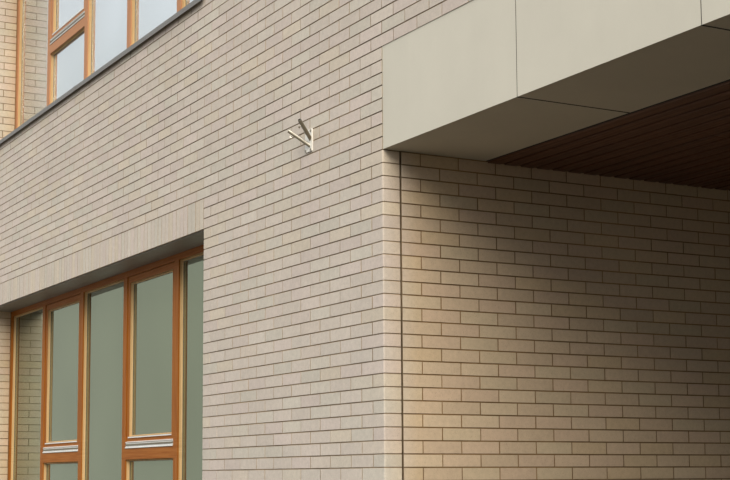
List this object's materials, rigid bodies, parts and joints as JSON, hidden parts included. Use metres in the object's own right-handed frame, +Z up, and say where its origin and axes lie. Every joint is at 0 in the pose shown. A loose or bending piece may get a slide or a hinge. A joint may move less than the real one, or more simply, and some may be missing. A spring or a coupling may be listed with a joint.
{
  "type": "school building",
  "caption": "Two-storey school block in pale brick with a flat roof, bands of timber windows in deep brick recesses and an entrance porch under a panelled fascia.",
  "frame": {"origin": "middle of the footprint at ground level, on the underside of the ground slab", "axes": "+X along the front from left to right, +Y from the front to the back, +Z up"},
  "size_m": [27.49, 13.0255, 8.725],
  "materials": {
    "facing_brick": "pale fired brick with raked joints",
    "wall_block": "smooth white plaster",
    "concrete": "plain concrete",
    "roofing": "dark roofing sheet",
    "grey_sheet": "dark grey coated sheet",
    "fascia_panel": "smooth cast panel",
    "dark_timber": "dark stained boards",
    "stained_timber": "orange-brown stain, satin",
    "window_glass": "clear glass",
    "aluminium_rail": "mill finish",
    "galvanised_steel": "galvanised"
  },
  "bodies": {
    "root": {"back_brickwork_left": "facing_brick", "back_brickwork_middle": "facing_brick", "back_brickwork_right": "facing_brick", "door_handles": "aluminium_rail", "entrance_doors": "stained_timber", "entrance_frame": "stained_timber", "entrance_glass": "window_glass", "fascia_beam": "concrete", "fascia_panels": "fascia_panel", "flag_holder": "galvanised_steel", "front_brickwork_left": "facing_brick", "front_brickwork_over_porch": "facing_brick", "front_brickwork_right": "facing_brick", "ground_slab": "concrete", "inner_wall_back_ground": "wall_block", "inner_wall_back_upper": "wall_block", "inner_wall_front_left_ground": "wall_block", "inner_wall_front_right_ground": "wall_block", "inner_wall_front_upper": "wall_block", "inner_wall_porch_left": "wall_block", "inner_wall_porch_right": "wall_block", "inner_walls_sides_ground": "wall_block", "inner_walls_sides_upper": "wall_block", "left_brickwork": "facing_brick", "parapet_coping": "grey_sheet", "parapet_upstand": "wall_block", "porch_brickwork_left": "facing_brick", "porch_brickwork_right": "facing_brick", "porch_bulkhead": "wall_block", "porch_ceiling": "dark_timber", "porch_paving": "concrete", "right_brickwork": "facing_brick", "roof_covering": "roofing", "roof_slab": "concrete", "sash_drip_rails": "aluminium_rail", "upper_floor_slab": "concrete", "window_frames_back": "stained_timber", "window_frames_front": "stained_timber", "window_frames_sides": "stained_timber", "window_glass_back": "window_glass", "window_glass_front": "window_glass", "window_glass_sides": "window_glass", "window_head_soffits": "grey_sheet", "window_sashes": "stained_timber", "window_sills": "grey_sheet"}
  },
  "joints": []
}
